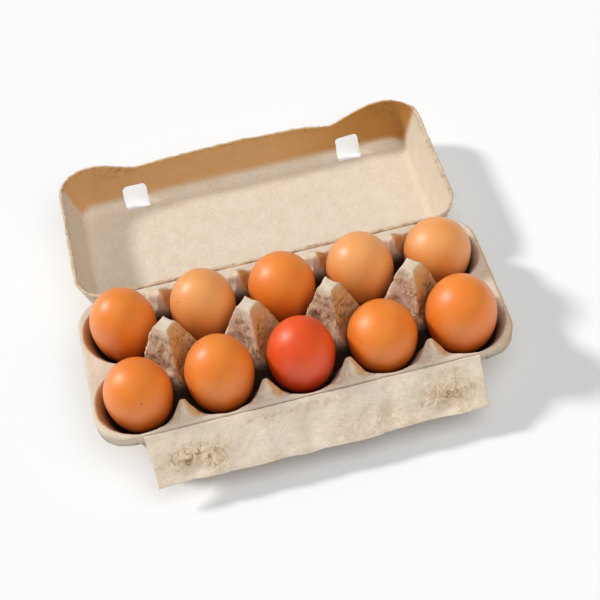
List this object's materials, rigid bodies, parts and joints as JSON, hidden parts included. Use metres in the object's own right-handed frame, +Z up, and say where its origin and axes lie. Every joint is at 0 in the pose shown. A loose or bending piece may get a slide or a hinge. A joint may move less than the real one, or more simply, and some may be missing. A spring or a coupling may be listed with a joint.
{
  "type": "egg carton with eggs",
  "caption": "Open moulded-pulp egg carton with brown eggs in its cups, hinged lid folded flat behind, and a front locking flap hanging outwards.",
  "frame": {"origin": "centre of the open carton's bounding box, on the surface it stands on", "axes": "+X along the carton to the viewer's right, +Y from the flap towards the opened lid, +Z up"},
  "size_m": [0.2486, 0.245, 0.0653],
  "materials": {
    "pulp": "rough fibrous recycled pulp, matt",
    "eggshell": "brown hen's eggshell, smooth with a soft satin sheen",
    "eggshell_dark": "darker red-brown hen's eggshell, smooth with a soft satin sheen"
  },
  "bodies": {
    "tray": {"tray": "pulp", "egg_1": "eggshell", "egg_2": "eggshell", "egg_3": "eggshell_dark", "egg_4": "eggshell", "egg_5": "eggshell", "egg_6": "eggshell", "egg_7": "eggshell", "egg_8": "eggshell", "egg_9": "eggshell", "egg_10": "eggshell"},
    "lid": {"lid": "pulp"},
    "flap": {"flap": "pulp"}
  },
  "joints": [
    {"name": "lid_hinge", "type": "hinge", "parent": "tray", "child": "lid", "pos_m": [0, 0.0107, 0.0344], "axis": [1, 0, 0], "range_deg": [0, 180]},
    {"name": "flap_hinge", "type": "hinge", "parent": "tray", "child": "flap", "pos_m": [0, -0.0975, 0.0332], "axis": [-1, 0, 0], "range_deg": [0, 142]}
  ]
}
